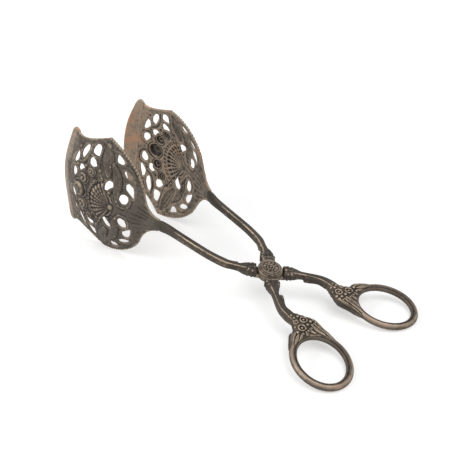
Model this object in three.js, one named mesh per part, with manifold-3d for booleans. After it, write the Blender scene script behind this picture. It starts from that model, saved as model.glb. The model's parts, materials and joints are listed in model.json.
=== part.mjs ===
// Bread tongs: two pierced scoops on crossing cast arms, held together by one rivet under a rosette.
// Millimetres, +Z up. The tongs lie as they are put down on a table, on the lower edges of both
// scoops and the far ends of both finger rings, with the scoops forward along +X.
// The origin is on the table, under the middle of the tongs.

import * as THREE from 'three';
import { mergeVertices } from 'three/addons/utils/BufferGeometryUtils.js';
import Module from 'manifold-3d';

// Clearances
const JOINT_GAP = 0.3; // brazed seams, seats and the rivet in its holes
const SWING_GAP = 0.6; // round boss of one arm to the shoulders of the other
const LAND_DEPTH = 0.4; // wear flat where the tongs touch the table

// Pivot
const BOSS_RADIUS = 7.8;
const LAP_THICKNESS = 5.6; // both half-laps together
const RIVET_RADIUS = 1.6;
const RIVET_HEAD_RADIUS = 3.4;
const RIVET_HEAD_HEIGHT = 1.1;
const RIVET_TIP_RADIUS = 2.3;
const RIVET_TIP_HEIGHT = 0.7;
const WASHER_RADIUS = 4.6;
const WASHER_THICKNESS = 0.8;
const ROSETTE_RADIUS = 6.2;
const ROSETTE_THICKNESS = 1.3;
const ROSETTE_PETALS = 12;

// Cast arm: one S-shaped bar from the scoop's neck, through the pivot, to the flower socket
const SHANK_WIDTH = 5.2;
const SHANK_HEIGHT = 6;
const SHANK_BOW = 19.4; // how far the shank stands off the middle line at its half way
const STEM_WIDTH = 5.6;
const STEM_HEIGHT = 5.2;
const STEM_BOW = 18.9; // the same for the stem of the handle
const CALYX_WIDTH = 8.4; // leafy flare of the arm beside the boss
const BUD_RADIUS = 2.6; // leaf bud on the inner side of shank and stem
const TENON_WIDTH = 4.6; // plain end of the stem, inside the flower socket
const TENON_HEIGHT = 4.2;
const TENON_LENGTH = 11;
const TENON_TURN_DEG = 8; // its lie, from the middle line
const TENON_WALL = 5.5; // metal of the socket between tenon and ring
const FORK_REACH = 11; // fork of the shank over the scoop's tongue
const FORK_HEIGHT = 8;
const FORK_TIP = 0.6; // thickness of each tine at its end

// Scoop of pressed sheet
const SCOOP_START = 72; // pivot to the back end of the tongue
const SCOOP_LENGTH = 87.5;
const SCOOP_HALF_HEIGHT = 45;
const SCOOP_DROOP = 0.062; // fall of the scoop's middle line for each millimetre forward
const SCOOP_WALL = 1.3;
const SCOOP_FACE = 35.2; // middle of the face from the middle line of the tongs
const SCOOP_CUP_RADIUS = 110; // hollow of the face, top to bottom
const NECK_SLOPE = 0.33; // sideways rise of the neck for each millimetre forward
const NECK_REACH = 35; // length of the sloping neck
const NECK_BLEND = 5;
const TONGUE_HALF_HEIGHT = 3.4;
const ROSE_HEIGHT = 3; // stamped rise of the big rose, the highest of the relief
const CURL_REACH = 35.5; // front of the face, which curls inward up to the lip
const CURL_RADIUS = 75;
const EAR_FLARE = 1.7; // how soon the curl fades towards the ears

// Finger ring and the flower socket that holds it
const RING_REACH = 72.2; // pivot to the middle of the ring
const RING_SPREAD_DEG = 26.4; // long axis of the ring from the middle line
const RING_LONG = 18.2; // half axes of the ring's centre line
const RING_SHORT = 15.5;
const RING_BAND = 4.4;
const RING_THICKNESS = 4.6;
const SOCKET_LENGTH = 15.5;
const SOCKET_HALF_WIDTH = 10.4;
const SOCKET_THICKNESS = 6.4;
const SOCKET_BEVEL = 0.9;
const FLOWER_RADIUS = 2.9;

// Finish: dark silver plate, worn to the brass on the handled parts
const SCOOP_FINISH = { color: 0x6b635c, roughness: 0.45, metalness: 0.85 };
const ARM_FINISH = { color: 0x70675e, roughness: 0.42, metalness: 0.85 };
const RING_FINISH = { color: 0x7a6c60, roughness: 0.36, metalness: 0.85 };
const PIVOT_FINISH = { color: 0x7f7468, roughness: 0.38, metalness: 0.85 };

const wasm = await Module();
wasm.setup();

// A closed geometry as a solid that can be joined and cut, and back again.
function solidOf(geometry) {
  const bare = geometry.clone();
  bare.deleteAttribute('normal');
  bare.deleteAttribute('uv');
  const merged = mergeVertices(bare);
  const mesh = new wasm.Mesh({
    numProp: 3,
    vertProperties: Float32Array.from(merged.attributes.position.array),
    triVerts: Uint32Array.from(merged.index.array),
  });
  return new wasm.Manifold(mesh);
}

function geometryOf(solid) {
  const mesh = solid.getMesh();
  const geometry = new THREE.BufferGeometry();
  geometry.setAttribute('position', new THREE.BufferAttribute(mesh.vertProperties, 3));
  geometry.setIndex(new THREE.BufferAttribute(mesh.triVerts, 1));
  geometry.computeVertexNormals();
  return geometry;
}

// Rows of points joined into one closed skin that faces out. A loop joins its last row to its
// first, and any other skin is capped at both ends, across from point to opposite point.
function skin(rows, isLoop) {
  const points = rows.flat();
  const count = rows[0].length;
  const faces = [];
  const quad = (a, b, c, d) => faces.push([a, b, c], [a, c, d]);
  for (let row = 0; row < (isLoop ? rows.length : rows.length - 1); row += 1) {
    const here = row * count;
    const ahead = ((row + 1) % rows.length) * count;
    for (let k = 0; k < count; k += 1) {
      const side = (k + 1) % count;
      quad(here + k, here + side, ahead + side, ahead + k);
    }
  }
  const end = (rows.length - 1) * count;
  for (let k = 0; !isLoop && k < count / 2 - 1; k += 1) {
    const across = count - 1 - k;
    quad(k, across, across - 1, k + 1);
    quad(end + k, end + k + 1, end + across - 1, end + across);
  }
  let volume = 0;
  for (const [a, b, c] of faces) {
    volume += points[a].dot(points[b].clone().cross(points[c]));
  }
  const outward = volume < 0 ? faces.map(([a, b, c]) => [a, c, b]) : faces;
  const geometry = new THREE.BufferGeometry().setFromPoints(points);
  return geometry.setIndex(outward.flat());
}

// A bar with an oval section, swept along stations on the level of the arms.
function pathOf(stations) {
  return new THREE.CatmullRomCurve3(stations.map((s) => new THREE.Vector3(s.x, s.y, 0)));
}

function beside(path, share, out, up) {
  const ahead = path.getTangent(share);
  return path.getPoint(share).add(new THREE.Vector3(-ahead.y * out, ahead.x * out, up));
}

function bar(stations, steps, sides) {
  const path = pathOf(stations);
  const sizes = pathOf(stations.map((s) => ({ x: s.wide, y: s.high })));
  const rows = [];
  for (let step = 0; step <= steps; step += 1) {
    const share = step / steps;
    const size = sizes.getPoint(share);
    const row = [];
    for (let k = 0; k < sides; k += 1) {
      const turn = ((k + 0.5) / sides) * 2 * Math.PI;
      row.push(beside(path, share, (size.x / 2) * Math.cos(turn), (size.y / 2) * Math.sin(turn)));
    }
    rows.push(row);
  }
  return skin(rows, false);
}

// A round piece about the pivot's axis, from a closed profile of radius and height.
function turned(profile, segments) {
  const points = profile.map(([radius, height]) => new THREE.Vector2(radius, height));
  return new THREE.LatheGeometry(points, segments).rotateX(Math.PI / 2);
}

function drum(radius, bottom, top, segments) {
  return turned([[0, bottom], [radius, bottom], [radius, top], [0, top]], segments);
}

// Scoop face: its distance from the middle line, x forward and h up from the scoop's own middle.
// The neck slopes out, the face is hollow from top to bottom, and its front curls back in.
const neckEnd = SCOOP_START + NECK_REACH;
const scoopEnd = SCOOP_START + SCOOP_LENGTH;
const curlStart = scoopEnd - CURL_REACH;

function softRamp(distance, blend) {
  return blend * Math.log(1 + Math.exp(distance / blend));
}

function faceAt(x, h) {
  const neck = NECK_SLOPE * softRamp(neckEnd - x, NECK_BLEND);
  const fading = 1 - EAR_FLARE * (h / SCOOP_HALF_HEIGHT) ** 4;
  const curl = (fading * Math.max(x - curlStart, 0) ** 2) / (2 * CURL_RADIUS);
  return SCOOP_FACE - neck - curl - (h * h) / (2 * SCOOP_CUP_RADIUS);
}

function droopAt(x) {
  return SCOOP_DROOP * (x - SCOOP_START);
}

function facePoint(x, h, offset) {
  const step = 0.01;
  const on = (dx, dh) => new THREE.Vector3(x + dx, faceAt(x + dx, h + dh), h + dh - droopAt(x + dx));
  const forward = on(step, 0).sub(on(-step, 0));
  const upward = on(0, step).sub(on(0, -step));
  const outward = upward.cross(forward).normalize();
  return on(0, 0).addScaledVector(outward, offset);
}

function evenly(start, end, count) {
  return Array.from({ length: count + 1 }, (_, k) => start + ((end - start) * k) / count);
}

// A sheet of even thickness over the face, at columns forward and levels up, raised by a relief.
function sheet(columns, levels, wall, reliefAt) {
  const rows = columns.map((x) => {
    const inside = levels.map((h) => facePoint(x, h, reliefAt(x, h) - wall / 2));
    const outside = levels.map((h) => facePoint(x, h, reliefAt(x, h) + wall / 2));
    return [...inside, ...outside.reverse()];
  });
  return skin(rows, false);
}

// Places on the scoop: share of its length from the tongue, share of its half height.
function scoopSpot(along, up) {
  return new THREE.Vector2(SCOOP_START + along * SCOOP_LENGTH, up * SCOOP_HALF_HEIGHT);
}

function scoopPlace(along, up) {
  const spot = scoopSpot(along, up);
  return spot.setY(spot.y - droopAt(spot.x));
}

const PEAK_ALONG = 0.526; // where the scoop is tallest, and stands on the table

// Outline: tongue, back corner, peak, rounded ear and the middle of the lip, above and below.
function halfOutline(side) {
  const at = (along, up) => scoopPlace(along, side * up);
  const tongue = at(0, TONGUE_HALF_HEIGHT / SCOOP_HALF_HEIGHT);
  const corner = at(0.15, 0.47);
  const peak = at(PEAK_ALONG, 1);
  const earBack = at(0.823, 0.809);
  const earFront = at(0.926, 0.742);
  const curves = [
    new THREE.QuadraticBezierCurve(tongue, at(0.125, 0.125), corner),
    new THREE.QuadraticBezierCurve(corner, at(0.255, 0.885), peak),
    new THREE.CubicBezierCurve(peak, at(0.6, 0.93), at(0.76, 0.745), earBack),
    new THREE.CubicBezierCurve(earBack, at(0.846, 0.88), at(0.907, 0.876), earFront),
    new THREE.CubicBezierCurve(earFront, at(0.937, 0.61), at(0.997, 0.38), at(1, 0)),
  ];
  return [tongue, ...curves.flatMap((curve) => curve.getPoints(7).slice(1))];
}

function scoopOutline() {
  return new THREE.Shape([...halfOutline(1), ...halfOutline(-1).slice(0, -1).reverse()]);
}

// Piercings in the upper half, each mirrored below: place as shares of the scoop, half length
// and half width as shares of its half height, and the tilt of the long side from forward.
const PIERCINGS = [
  { along: 0.293, up: 0.217, long: 0.095, wide: 0.074, tiltDeg: 104 }, // eye of the neck scroll
  { along: 0.262, up: 0.409, long: 0.104, wide: 0.05, tiltDeg: 52 }, // beside the back corner
  { along: 0.303, up: 0.611, long: 0.115, wide: 0.048, tiltDeg: 36 }, // along the beaded edge
  { along: 0.397, up: 0.773, long: 0.088, wide: 0.05, tiltDeg: 22 }, // below the peak
  { along: 0.43, up: 0.341, long: 0.105, wide: 0.06, tiltDeg: 126 }, // beside the shell
  { along: 0.614, up: 0.736, long: 0.09, wide: 0.076, tiltDeg: 92 }, // in front of the peak
  { along: 0.617, up: 0.541, long: 0.082, wide: 0.069, tiltDeg: 13 }, // over the outer rose
  { along: 0.718, up: 0.624, long: 0.128, wide: 0.051, tiltDeg: 113 }, // long slot by the ear
  { along: 0.73, up: 0.345, long: 0.076, wide: 0.048, tiltDeg: 129 }, // beside the big rose
  { along: 0.8, up: 0.443, long: 0.112, wide: 0.047, tiltDeg: 112 }, // behind the lip, outer
  { along: 0.807, up: 0.192, long: 0.086, wide: 0.058, tiltDeg: 110 }, // behind the lip, inner
];

// Main forms of the stamped relief in the upper half, each mirrored below: places as above, sizes
// as shares of the half height, rises as shares of the big rose's.
const ROSES = [
  { along: 0.715, up: 0, radius: 0.12, rise: 1 }, // behind the lip
  { along: 0.679, up: 0.236, radius: 0.082, rise: 0.65 },
  { along: 0.608, up: 0.4, radius: 0.064, rise: 0.5 },
];
const SHELL = { along: 0.39, reach: 0.385, halfAngleDeg: 64, rise: 0.35 };
const SCROLLS = [
  { route: [[0.345, 0.2], [0.36, 0.36], [0.375, 0.53], [0.42, 0.69]], halfWidth: 0.07, rise: 0.3 }, // C scroll
  { route: [[0.46, 0.56], [0.48, 0.7], [0.505, 0.82]], halfWidth: 0.1, rise: 0.3 }, // panel below the peak
];

// Height of the relief: domed roses, a fan-shaped shell, and scrolls with a round back.
function stampedAt(x, h) {
  const spot = new THREE.Vector2(x, Math.abs(h));
  const round = (share) => Math.sqrt(Math.max(0, 1 - share * share));
  const sizeOf = (share) => share * SCOOP_HALF_HEIGHT;
  const rises = ROSES.map((rose) => {
    const distance = spot.distanceTo(scoopSpot(rose.along, rose.up));
    return rose.rise * round(distance / sizeOf(rose.radius));
  });
  const fromApex = spot.clone().sub(scoopSpot(SHELL.along, 0));
  const isFan = fromApex.angle() < THREE.MathUtils.degToRad(SHELL.halfAngleDeg);
  const shellShare = fromApex.length() / sizeOf(SHELL.reach);
  rises.push(isFan ? SHELL.rise * round(2 * shellShare - 1) : 0);
  for (const { route, halfWidth, rise } of SCROLLS) {
    const line = new THREE.SplineCurve(route.map(([along, up]) => scoopSpot(along, up)));
    const distance = Math.min(...line.getPoints(12).map((point) => point.distanceTo(spot)));
    rises.push(rise * round(distance / sizeOf(halfWidth)));
  }
  return ROSE_HEIGHT * Math.max(...rises);
}

function piercedScoop() {
  const reach = 2 * SCOOP_FACE;
  const upright = (outline, curveSegments) => solidOf(
    new THREE.ExtrudeGeometry(outline, { depth: reach, bevelEnabled: false, curveSegments })
      .rotateX(Math.PI / 2)
      .translate(0, reach, 0),
  );
  const margin = 2;
  const reliefStart = scoopSpot(0.3, 0).x;
  const reliefEnd = scoopSpot(0.8, 0).x;
  const columns = [
    ...evenly(SCOOP_START - margin, reliefStart, 6).slice(0, -1),
    ...evenly(reliefStart, reliefEnd, 20).slice(0, -1),
    ...evenly(reliefEnd, scoopEnd + margin, 5),
  ];
  const top = SCOOP_HALF_HEIGHT + margin;
  const roseTop = 0.5 * SCOOP_HALF_HEIGHT;
  const levels = [
    ...evenly(-top, -roseTop, 5).slice(0, -1),
    ...evenly(-roseTop, roseTop, 18),
    ...evenly(roseTop, top, 5).slice(1),
  ];
  const blank = solidOf(sheet(columns, levels, SCOOP_WALL, stampedAt));
  let scoop = blank.intersect(upright(scoopOutline(), 1));
  for (const { along, up, long, wide, tiltDeg } of PIERCINGS) {
    for (const side of [1, -1]) {
      const centre = scoopPlace(along, side * up);
      const tilt = side * THREE.MathUtils.degToRad(tiltDeg);
      const hole = new THREE.Shape().absellipse(
        centre.x,
        centre.y,
        long * SCOOP_HALF_HEIGHT,
        wide * SCOOP_HALF_HEIGHT,
        0,
        2 * Math.PI,
        false,
        tilt,
      );
      scoop = scoop.subtract(upright(hole, 5));
    }
  }
  return scoop;
}

// Finger ring, grown all round by a clearance where something has to fit over it.
const spread = THREE.MathUtils.degToRad(RING_SPREAD_DEG);
const ringAxis = new THREE.Vector2(-Math.cos(spread), -Math.sin(spread));
const ringCentre = ringAxis.clone().multiplyScalar(RING_REACH);

function fingerRing(clearance) {
  const steps = 36;
  const sides = 10;
  const rows = [];
  for (let step = 0; step < steps; step += 1) {
    const turn = (step / steps) * 2 * Math.PI;
    const centre = new THREE.Vector2(RING_LONG * Math.cos(turn), RING_SHORT * Math.sin(turn));
    const out = new THREE.Vector2(RING_SHORT * Math.cos(turn), RING_LONG * Math.sin(turn)).normalize();
    const row = [];
    for (let k = 0; k < sides; k += 1) {
      const round = ((k + 0.5) / sides) * 2 * Math.PI;
      const point = centre.clone().addScaledVector(out, (RING_BAND / 2 + clearance) * Math.cos(round));
      row.push(new THREE.Vector3(point.x, point.y, (RING_THICKNESS / 2 + clearance) * Math.sin(round)));
    }
    rows.push(row);
  }
  return skin(rows, true).rotateZ(spread).translate(ringCentre.x, ringCentre.y, 0);
}

// The stem ends in the socket, behind the near end of the ring.
const ringNearEnd = ringAxis.clone().multiplyScalar(RING_REACH - RING_LONG);
const tenonTurn = THREE.MathUtils.degToRad(TENON_TURN_DEG);
const tenonDirection = new THREE.Vector2(-Math.cos(tenonTurn), -Math.sin(tenonTurn));
const tenonEnd = ringNearEnd.clone().addScaledVector(ringAxis, -RING_BAND / 2 - TENON_WALL);
const tenonStart = tenonEnd.clone().addScaledVector(tenonDirection, -TENON_LENGTH);

function tenonStations(clearance) {
  const wide = TENON_WIDTH + 2 * clearance;
  const high = TENON_HEIGHT + 2 * clearance;
  const end = tenonEnd.clone().addScaledVector(tenonDirection, clearance);
  const middle = tenonStart.clone().lerp(end, 0.5);
  return [tenonStart, middle, end].map((p) => ({ x: p.x, y: p.y, wide, high }));
}

// Cast arm: its shank goes forward to the left, its stem back to the right, and its half of the
// lap lies between two levels.
function castArm(lapBottom, lapTop) {
  const forkStart = SCOOP_START - JOINT_GAP;
  const forkWidth = SCOOP_WALL + 2 * (JOINT_GAP + FORK_TIP);
  const onFace = (x, wide, high) => ({ x, y: faceAt(x, 0), wide, high });
  const calyx = { wide: CALYX_WIDTH, high: LAP_THICKNESS };
  const shank = { wide: SHANK_WIDTH, high: SHANK_HEIGHT };
  const stem = { wide: STEM_WIDTH, high: STEM_HEIGHT };
  const shankBud = { x: 2.05 * BOSS_RADIUS, y: 1.66 * BOSS_RADIUS, ...shank };
  const stemBud = { x: -2.2 * BOSS_RADIUS, y: -1.8 * BOSS_RADIUS, ...stem };
  const stations = [
    onFace(SCOOP_START + FORK_REACH, forkWidth, FORK_HEIGHT),
    onFace(SCOOP_START + FORK_REACH / 2, SHANK_WIDTH - 0.6, FORK_HEIGHT - 1),
    onFace(SCOOP_START - 1, SHANK_WIDTH, SHANK_HEIGHT + 0.4),
    { x: 0.84 * SCOOP_START, y: SHANK_BOW + 2.1, ...shank },
    { x: 0.66 * SCOOP_START, y: SHANK_BOW + 0.9, ...shank },
    { x: 0.47 * SCOOP_START, y: SHANK_BOW - 0.6, ...shank },
    { x: 0.32 * SCOOP_START, y: 0.85 * SHANK_BOW, ...shank },
    shankBud,
    { x: BOSS_RADIUS, y: 0.95 * BOSS_RADIUS, ...calyx },
    { x: 0, y: 0, ...calyx },
    { x: -BOSS_RADIUS, y: -0.9 * BOSS_RADIUS, ...calyx },
    stemBud,
    { x: 0.6 * tenonEnd.x, y: -STEM_BOW, ...stem },
    ...tenonStations(0),
  ];
  const path = pathOf(stations);
  const bud = (station, out) => {
    const share = stations.indexOf(station) / (stations.length - 1);
    const ahead = path.getTangent(share);
    const centre = beside(path, share, out, 0);
    return solidOf(
      new THREE.SphereGeometry(BUD_RADIUS, 10, 6)
        .scale(1.3, 0.8, 0.8)
        .rotateZ(Math.atan2(ahead.y, ahead.x))
        .translate(centre.x, centre.y, 0),
    );
  };
  const segments = 32;
  const fork = sheet(
    evenly(forkStart, SCOOP_START + 2 * FORK_REACH, 12),
    evenly(-FORK_HEIGHT, FORK_HEIGHT, 4),
    SCOOP_WALL + 2 * JOINT_GAP,
    () => 0,
  );
  const isLow = lapBottom < 0;
  const swingBottom = isLow ? lapTop : -LAP_THICKNESS;
  const swingTop = isLow ? LAP_THICKNESS : lapBottom;
  const swingRoom = drum(BOSS_RADIUS + SWING_GAP, swingBottom, swingTop, segments);
  const lap = drum(BOSS_RADIUS, lapBottom, lapTop, segments);
  const rivetHole = drum(RIVET_RADIUS + JOINT_GAP, -LAP_THICKNESS, LAP_THICKNESS, segments);
  return solidOf(bar(stations, 52, 8))
    .add(bud(shankBud, SHANK_WIDTH / 2))
    .add(bud(stemBud, -STEM_WIDTH / 2))
    .subtract(solidOf(fork))
    .subtract(solidOf(swingRoom))
    .add(solidOf(lap))
    .subtract(solidOf(rivetHole));
}

// Flower socket: a leafy plate that grips the ring on one side and takes the stem on the other.
function flowerSocket() {
  const width = SOCKET_HALF_WIDTH;
  const back = -SOCKET_LENGTH;
  const half = [
    [back, 0.3 * width],
    [0.8 * back, 0.42 * width],
    [0.62 * back, 0.76 * width],
    [0.38 * back, 0.95 * width],
    [0.12 * back, width],
    [0.08 * SOCKET_LENGTH, 0.82 * width],
    [0.04 * SOCKET_LENGTH, 0.45 * width],
  ].map(([x, y]) => new THREE.Vector2(x, y));
  const otherHalf = half.map((p) => new THREE.Vector2(p.x, -p.y)).reverse();
  const outline = new THREE.Shape([...half, ...otherHalf]);
  const plate = new THREE.ExtrudeGeometry(outline, {
    depth: SOCKET_THICKNESS - 2 * SOCKET_BEVEL,
    bevelThickness: SOCKET_BEVEL,
    bevelSize: SOCKET_BEVEL,
    bevelOffset: -SOCKET_BEVEL,
    bevelSegments: 1,
  }).translate(0, 0, SOCKET_BEVEL - SOCKET_THICKNESS / 2);
  let socket = solidOf(plate);
  const flowers = [[0.4 * back, 0.1 * width], [0.62 * back, 0.36 * width], [0.66 * back, -0.28 * width]];
  for (const [x, y] of flowers) {
    const flower = new THREE.SphereGeometry(FLOWER_RADIUS, 10, 6).scale(1, 1, 0.5);
    for (const level of [-SOCKET_THICKNESS / 2, SOCKET_THICKNESS / 2]) {
      socket = socket.add(solidOf(flower.clone().translate(x, y, level)));
    }
  }
  const placed = geometryOf(socket).rotateZ(Math.PI + spread).translate(ringNearEnd.x, ringNearEnd.y, 0);
  return solidOf(placed)
    .subtract(solidOf(fingerRing(JOINT_GAP)))
    .subtract(solidOf(bar(tenonStations(JOINT_GAP), 8, 10)));
}

// How the tongs lie: the scoops' peaks and the far ends of the rings touch the table.
const peakReach = SCOOP_START + PEAK_ALONG * SCOOP_LENGTH;
const ringHalfReach = Math.hypot(RING_LONG * Math.cos(spread), RING_SHORT * Math.sin(spread));
const ringFarReach = RING_REACH * Math.cos(spread) + ringHalfReach;
const peakDepth = SCOOP_HALF_HEIGHT + droopAt(peakReach);
const tilt = Math.atan2(peakDepth - RING_THICKNESS / 2, peakReach + ringFarReach);
const pivotHeight = peakDepth * Math.cos(tilt) - peakReach * Math.sin(tilt) - LAND_DEPTH;

const tableSize = 1000;
const underTable = solidOf(
  new THREE.BoxGeometry(tableSize, tableSize, tableSize)
    .translate(0, 0, -tableSize / 2 - pivotHeight)
    .rotateY(tilt),
);

// The upper half is the lower one mirrored, with its half of the lap on top.
const tongs = new THREE.Group();

function addPiece(name, geometry, finish) {
  const piece = new THREE.Mesh(geometry, new THREE.MeshStandardMaterial(finish));
  piece.name = name;
  tongs.add(piece);
}

function mirrored(geometry) {
  const corners = geometry.index.array;
  for (let k = 0; k < corners.length; k += 3) {
    [corners[k], corners[k + 1]] = [corners[k + 1], corners[k]];
  }
  return geometry.scale(1, -1, 1);
}

function addHalf(side, isMirrored, lapBottom, lapTop) {
  const place = (solid) => (isMirrored ? mirrored(geometryOf(solid)) : geometryOf(solid));
  const onTable = (solid) => place(solid.subtract(underTable));
  addPiece(`${side}_scoop`, onTable(piercedScoop()), SCOOP_FINISH);
  addPiece(`${side}_arm`, place(castArm(lapBottom, lapTop)), ARM_FINISH);
  addPiece(`${side}_flower_socket`, place(flowerSocket()), ARM_FINISH);
  addPiece(`${side}_finger_ring`, onTable(solidOf(fingerRing(0))), RING_FINISH);
}

const lapHalf = LAP_THICKNESS / 2;
addHalf('lower', false, -lapHalf, -JOINT_GAP / 2);
addHalf('upper', true, JOINT_GAP / 2, lapHalf);

// Pivot: the rivet passes both laps, with a rosette under its tip and a washer over its head.
const rosetteBottom = lapHalf + JOINT_GAP;
const rosetteTop = rosetteBottom + ROSETTE_THICKNESS;
const tipBottom = rosetteTop + JOINT_GAP;
const washerTop = -lapHalf - JOINT_GAP;
const washerBottom = washerTop - WASHER_THICKNESS;
const headTop = washerBottom - JOINT_GAP;
const pinHole = RIVET_RADIUS + JOINT_GAP;

function rosette() {
  const rim = rosetteBottom + 0.45 * ROSETTE_THICKNESS;
  const valley = rosetteBottom + 0.6 * ROSETTE_THICKNESS;
  const geometry = turned([
    [pinHole, rosetteBottom],
    [0.94 * ROSETTE_RADIUS, rosetteBottom],
    [ROSETTE_RADIUS, rim],
    [0.86 * ROSETTE_RADIUS, rosetteTop],
    [0.76 * ROSETTE_RADIUS, valley],
    [0.7 * ROSETTE_RADIUS, valley],
    [0.6 * ROSETTE_RADIUS, rosetteTop],
    [pinHole, rosetteTop],
    [pinHole, rosetteBottom],
  ], 4 * ROSETTE_PETALS);
  const places = geometry.attributes.position;
  for (let k = 0; k < places.count; k += 1) {
    const radius = Math.hypot(places.getX(k), places.getY(k));
    const turn = Math.atan2(places.getY(k), places.getX(k));
    const isPetal = radius > 0.8 * ROSETTE_RADIUS;
    const scallop = isPetal ? 1 - 0.04 * (1 - Math.cos(ROSETTE_PETALS * turn)) : 1;
    places.setXY(k, scallop * places.getX(k), scallop * places.getY(k));
  }
  return solidOf(geometry);
}

addPiece('pivot_rivet', geometryOf(solidOf(turned([
  [0, headTop - RIVET_HEAD_HEIGHT],
  [0.6 * RIVET_HEAD_RADIUS, headTop - 0.85 * RIVET_HEAD_HEIGHT],
  [RIVET_HEAD_RADIUS, headTop - 0.25 * RIVET_HEAD_HEIGHT],
  [RIVET_HEAD_RADIUS, headTop],
  [RIVET_RADIUS, headTop],
  [RIVET_RADIUS, tipBottom],
  [RIVET_TIP_RADIUS, tipBottom],
  [0.7 * RIVET_TIP_RADIUS, tipBottom + 0.75 * RIVET_TIP_HEIGHT],
  [0, tipBottom + RIVET_TIP_HEIGHT],
], 24))), PIVOT_FINISH);
addPiece('pivot_washer', geometryOf(solidOf(turned([
  [pinHole, washerBottom],
  [WASHER_RADIUS, washerBottom],
  [WASHER_RADIUS, washerTop],
  [pinHole, washerTop],
  [pinHole, washerBottom],
], 32))), PIVOT_FINISH);
addPiece('pivot_rosette', geometryOf(rosette()), PIVOT_FINISH);

tongs.rotation.y = -tilt;
tongs.position.z = pivotHeight;
tongs.updateMatrixWorld(true);
tongs.position.x = -new THREE.Box3().setFromObject(tongs, true).getCenter(new THREE.Vector3()).x;
tongs.updateMatrixWorld(true);

export default tongs;
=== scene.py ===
import json
import math

import bpy
import numpy as np
from mathutils import Matrix, Vector


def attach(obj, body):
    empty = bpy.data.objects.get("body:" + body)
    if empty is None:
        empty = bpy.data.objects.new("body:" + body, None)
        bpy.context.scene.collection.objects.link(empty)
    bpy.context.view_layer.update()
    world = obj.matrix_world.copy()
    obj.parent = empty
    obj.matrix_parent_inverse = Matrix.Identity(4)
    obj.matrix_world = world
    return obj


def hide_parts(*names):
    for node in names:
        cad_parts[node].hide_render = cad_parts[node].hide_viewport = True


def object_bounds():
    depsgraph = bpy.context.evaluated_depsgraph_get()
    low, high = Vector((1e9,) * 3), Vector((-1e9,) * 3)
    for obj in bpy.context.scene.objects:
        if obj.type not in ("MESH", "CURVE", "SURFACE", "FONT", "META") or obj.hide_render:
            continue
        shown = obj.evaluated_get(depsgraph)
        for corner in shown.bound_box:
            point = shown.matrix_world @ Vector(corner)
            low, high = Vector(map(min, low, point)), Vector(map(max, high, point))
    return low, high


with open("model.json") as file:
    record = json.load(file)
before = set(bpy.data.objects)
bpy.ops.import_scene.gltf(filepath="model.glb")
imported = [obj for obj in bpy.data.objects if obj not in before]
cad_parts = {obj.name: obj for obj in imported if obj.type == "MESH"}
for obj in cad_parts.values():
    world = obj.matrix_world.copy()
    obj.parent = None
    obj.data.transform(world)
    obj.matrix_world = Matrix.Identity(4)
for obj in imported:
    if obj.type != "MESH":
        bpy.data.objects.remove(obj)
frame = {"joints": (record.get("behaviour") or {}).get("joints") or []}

cad_box = np.array(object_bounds())

# Pierced scoops: one sheet of plated brass each, stamped in a die with a shell, roses and scrolls and
# sawn through between the scrolls, so the relief shows in reverse inside. The front curls in to a plain
# lip, rubbed to the copper, the back edge is beaded, and the neck is brazed under the arm's leaf tip.
SCOOP_START = 72.0
SCOOP_LENGTH = 87.5
SCOOP_HALF_HEIGHT = 45.0
SCOOP_DROOP = 0.062
SCOOP_WALL = 1.2
SCOOP_FACE = 35.2
SCOOP_CUP_RADIUS = 110.0
NECK_SLOPE = 0.33
NECK_END = 107.0
NECK_BLEND = 5.0
CURL_START = 124.0
CURL_RADIUS = 75.0
EAR_FLARE = 1.7


def scoop_middle(x, h):
    """The bare sheet, x forward of the rivet and h up from the scoop's own middle line: the neck
    slopes out, the face is hollow and its front curls in, less towards the ears."""
    neck = NECK_SLOPE * NECK_BLEND * np.logaddexp(0, (NECK_END - x) / NECK_BLEND)
    fading = 1 - EAR_FLARE * (h / SCOOP_HALF_HEIGHT) ** 4
    curl = fading * np.maximum(x - CURL_START, 0) ** 2 / (2 * CURL_RADIUS)
    out = SCOOP_FACE - neck - curl - h**2 / (2 * SCOOP_CUP_RADIUS)
    return np.stack([x, out, h - SCOOP_DROOP * (x - SCOOP_START)], -1)


def bezier(controls, count):
    """Points along a Bezier curve, without its first."""
    share = np.linspace(0, 1, count + 1)[1:, None]
    degree = len(controls) - 1
    weights = [math.comb(degree, k) * share**k * (1 - share) ** (degree - k) for k in range(degree + 1)]
    return sum(weight * np.array(point) for weight, point in zip(weights, controls))


def on_scoop(shares):
    return np.array(shares) * (SCOOP_LENGTH, SCOOP_HALF_HEIGHT) + (SCOOP_START, 0)


# Outline of the upper half, as shares of the scoop's length and half height, mirrored below.
TONGUE = (0, 0.108)
CORNER = (0.15, 0.47)
PEAK = (0.526, 1)
EAR_BACK = (0.823, 0.809)
EAR_FRONT = (0.918, 0.742)
back_edge = on_scoop(bezier([CORNER, (0.255, 0.885), PEAK], 16))
half_outline = np.concatenate([
    on_scoop([TONGUE]),
    on_scoop(bezier([TONGUE, (0.105, 0.13), CORNER], 10)),
    back_edge,
    on_scoop(bezier([PEAK, (0.6, 0.93), (0.76, 0.745), EAR_BACK], 14)),
    on_scoop(bezier([EAR_BACK, (0.846, 0.89), (0.89, 0.885), EAR_FRONT], 8)),
    on_scoop(bezier([EAR_FRONT, (0.936, 0.61), (0.997, 0.38), (1, 0)], 14)),
])
outline = np.concatenate([half_outline, half_outline[-2::-1] * (1, -1)])

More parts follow.
